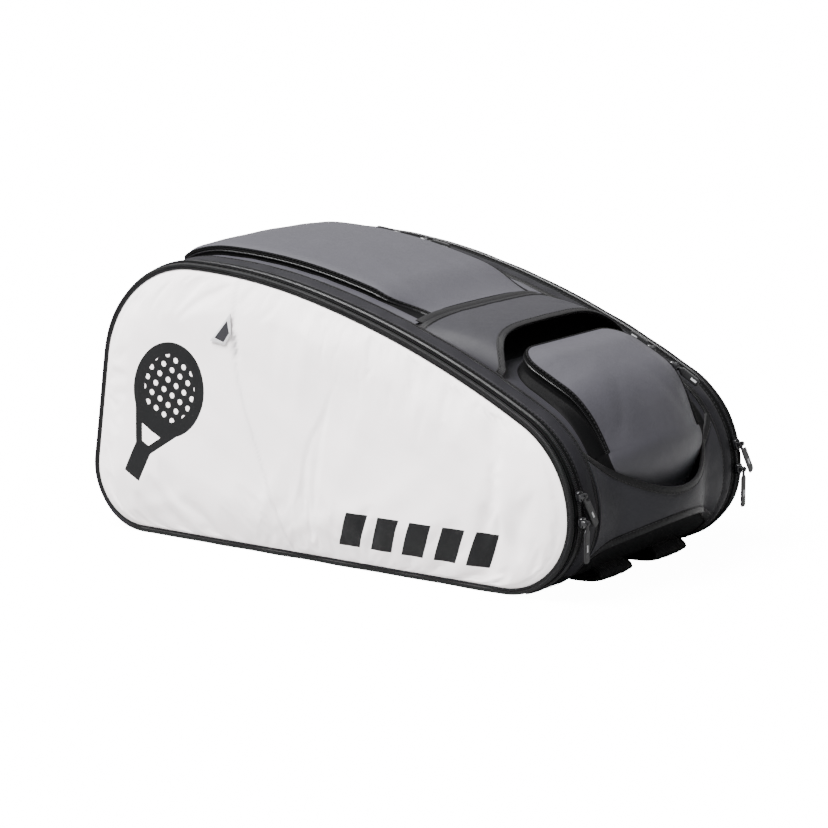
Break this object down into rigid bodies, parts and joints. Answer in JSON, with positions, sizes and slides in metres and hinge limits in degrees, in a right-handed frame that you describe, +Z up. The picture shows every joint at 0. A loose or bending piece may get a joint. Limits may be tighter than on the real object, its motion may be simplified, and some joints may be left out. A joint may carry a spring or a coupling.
{
  "type": "padel racket bag",
  "caption": "Padel racket bag with a racket compartment on each side, a lidded main compartment, a front pocket, two carry handles and two shoulder straps.",
  "frame": {"origin": "centre of the bounding box, on the surface that the bag lies on", "axes": "+X towards the narrow end with the grab handle, -Y the wearer's right side, +Z up with the bag lying on its back panel"},
  "size_m": [0.6093, 0.3313, 0.2936],
  "materials": {
    "grey_fabric": "satin",
    "white_fabric": "matte",
    "black_fabric": "matte",
    "edge_tape": "matte",
    "zip_tape": "matte",
    "zip_coil": "satin",
    "slider_metal": "satin",
    "pull_rubber": "matte",
    "lining": "matte",
    "board": "matte",
    "padded_mesh": "matte",
    "webbing": "matte",
    "buckle_plastic": "satin"
  },
  "bodies": {
    "root": {"back_panel": "padded_mesh", "back_stiffener": "board", "base_panel": "grey_fabric", "carry_handle": "grey_fabric", "carry_handle_tape": "edge_tape", "end_handle": "grey_fabric", "end_handle_tape": "edge_tape", "end_wrap": "black_fabric", "front_panel": "grey_fabric", "front_pocket": "zip_tape", "front_pocket_foot": "grey_fabric", "front_zip_coil": "zip_coil", "left_divider": "lining", "left_gusset": "grey_fabric", "left_seam_binding": "edge_tape", "left_strap_anchor": "webbing", "left_zip_coil": "zip_coil", "left_zip_tape": "zip_tape", "main_rim": "grey_fabric", "main_zip_coil": "zip_coil", "main_zip_wall": "zip_tape", "right_divider": "lining", "right_gusset": "grey_fabric", "right_seam_binding": "edge_tape", "right_strap_anchor": "webbing", "right_zip_coil": "zip_coil", "right_zip_tape": "zip_tape"},
    "right_door": {"right_side_panel": "white_fabric", "right_piping": "edge_tape", "right_door_tape": "zip_tape"},
    "right_strap": {"right_strap": "padded_mesh", "right_ladder_lock": "buckle_plastic", "right_webbing": "webbing"},
    "left_door": {"left_side_panel": "white_fabric", "left_piping": "edge_tape", "left_door_tape": "zip_tape"},
    "left_strap": {"left_strap": "padded_mesh", "left_ladder_lock": "buckle_plastic", "left_webbing": "webbing"},
    "main_lid": {"main_lid": "grey_fabric"},
    "front_lid": {"front_lid": "grey_fabric"},
    "right_upper_slider": {"right_upper_slider": "slider_metal"},
    "right_upper_pull": {"right_upper_pull": "pull_rubber"},
    "right_lower_slider": {"right_lower_slider": "slider_metal"},
    "right_lower_pull": {"right_lower_pull": "pull_rubber"},
    "left_upper_slider": {"left_upper_slider": "slider_metal"},
    "left_upper_pull": {"left_upper_pull": "pull_rubber"},
    "left_lower_slider": {"left_lower_slider": "slider_metal"},
    "left_lower_pull": {"left_lower_pull": "pull_rubber"},
    "main_a_slider": {"main_a_slider": "slider_metal"},
    "main_a_pull": {"main_a_pull": "pull_rubber"},
    "main_b_slider": {"main_b_slider": "slider_metal"},
    "main_b_pull": {"main_b_pull": "pull_rubber"},
    "front_a_slider": {"front_a_slider": "slider_metal"},
    "front_a_pull": {"front_a_pull": "pull_rubber"},
    "front_b_slider": {"front_b_slider": "slider_metal"},
    "front_b_pull": {"front_b_pull": "pull_rubber"}
  },
  "joints": [
    {"name": "right_door_fold", "type": "hinge", "parent": "root", "child": "right_door", "pos_m": [0, -0.1455, 0], "axis": [1, 0, 0], "range_deg": [0, 60]},
    {"name": "right_strap_swing", "type": "hinge", "parent": "root", "child": "right_strap", "pos_m": [0.2482, -0.05, 0.0175], "axis": [0, -1, 0], "range_deg": [0, 12], "deforming": ["right_webbing"]},
    {"name": "left_door_fold", "type": "hinge", "parent": "root", "child": "left_door", "pos_m": [0, 0.1455, 0], "axis": [-1, 0, 0], "range_deg": [0, 60]},
    {"name": "left_strap_swing", "type": "hinge", "parent": "root", "child": "left_strap", "pos_m": [0.2482, 0.05, 0.0175], "axis": [0, -1, 0], "range_deg": [0, 12], "deforming": ["left_webbing"]},
    {"name": "main_lid_lift", "type": "hinge", "parent": "root", "child": "main_lid", "pos_m": [0.06496, 0, 0.25187], "axis": [0, 1, 0], "range_deg": [0, 100]},
    {"name": "front_lid_lift", "type": "hinge", "parent": "root", "child": "front_lid", "pos_m": [0.28875, 0, 0.14187], "axis": [0, 1, 0], "range_deg": [0, 70]},
    {"name": "right_upper_zip", "type": "hinge", "parent": "root", "child": "right_upper_slider", "pos_m": [0.17209, 0, 0.078], "axis": [0, -1, 0], "range_deg": [0, 45]},
    {"name": "right_upper_pull_swing", "type": "hinge", "parent": "right_upper_slider", "child": "right_upper_pull", "pos_m": [0.28277, -0.1435, 0.10355], "axis": [0, -1, 0], "range_deg": [0, 150]},
    {"name": "right_lower_zip", "type": "hinge", "parent": "root", "child": "right_lower_slider", "pos_m": [0.19909, 0, 0.078], "axis": [0, 1, 0], "range_deg": [0, 45]},
    {"name": "right_lower_pull_swing", "type": "hinge", "parent": "right_lower_slider", "child": "right_lower_pull", "pos_m": [0.28569, -0.1435, 0.078], "axis": [0, -1, 0], "range_deg": [0, 150]},
    {"name": "left_upper_zip", "type": "hinge", "parent": "root", "child": "left_upper_slider", "pos_m": [0.17209, 0, 0.078], "axis": [0, -1, 0], "range_deg": [0, 45]},
    {"name": "left_upper_pull_swing", "type": "hinge", "parent": "left_upper_slider", "child": "left_upper_pull", "pos_m": [0.28277, 0.1435, 0.10355], "axis": [0, -1, 0], "range_deg": [0, 150]},
    {"name": "left_lower_zip", "type": "hinge", "parent": "root", "child": "left_lower_slider", "pos_m": [0.19909, 0, 0.078], "axis": [0, 1, 0], "range_deg": [0, 45]},
    {"name": "left_lower_pull_swing", "type": "hinge", "parent": "left_lower_slider", "child": "left_lower_pull", "pos_m": [0.28569, 0.1435, 0.078], "axis": [0, -1, 0], "range_deg": [0, 150]},
    {"name": "main_a_zip", "type": "hinge", "parent": "root", "child": "main_a_slider", "pos_m": [-0.17141, 0, -0.34935], "axis": [0, -1, 0], "range_deg": [0, 5.3]},
    {"name": "main_a_pull_swing", "type": "hinge", "parent": "main_a_slider", "child": "main_a_pull", "pos_m": [-0.10565, 0.1056, 0.28374], "axis": [-0.103, 0, -0.9947], "range_deg": [0, 165]},
    {"name": "main_b_zip", "type": "hinge", "parent": "root", "child": "main_b_slider", "pos_m": [-0.17141, 0, -0.34935], "axis": [0, 1, 0], "range_deg": [0, 2.8]},
    {"name": "main_b_pull_swing", "type": "hinge", "parent": "main_b_slider", "child": "main_b_pull", "pos_m": [-0.07227, 0.1056, 0.27938], "axis": [0.156, 0, 0.9878], "range_deg": [0, 165]},
    {"name": "front_a_zip", "type": "hinge", "parent": "root", "child": "front_a_slider", "pos_m": [-0.24748, 0, -0.70122], "axis": [0, -1, 0], "range_deg": [0, 1.5]},
    {"name": "front_a_pull_swing", "type": "hinge", "parent": "front_a_slider", "child": "front_a_pull", "pos_m": [0.20633, 0.0986, 0.19716], "axis": [-0.4508, 0, -0.8926], "range_deg": [0, 165]},
    {"name": "front_b_zip", "type": "hinge", "parent": "root", "child": "front_b_slider", "pos_m": [0.17209, 0, 0.078], "axis": [0, 1, 0], "range_deg": [0, 24]},
    {"name": "front_b_pull_swing", "type": "hinge", "parent": "front_b_slider", "child": "front_b_pull", "pos_m": [0.23284, 0.0986, 0.18322], "axis": [0.5, 0, 0.866], "range_deg": [0, 165]}
  ]
}
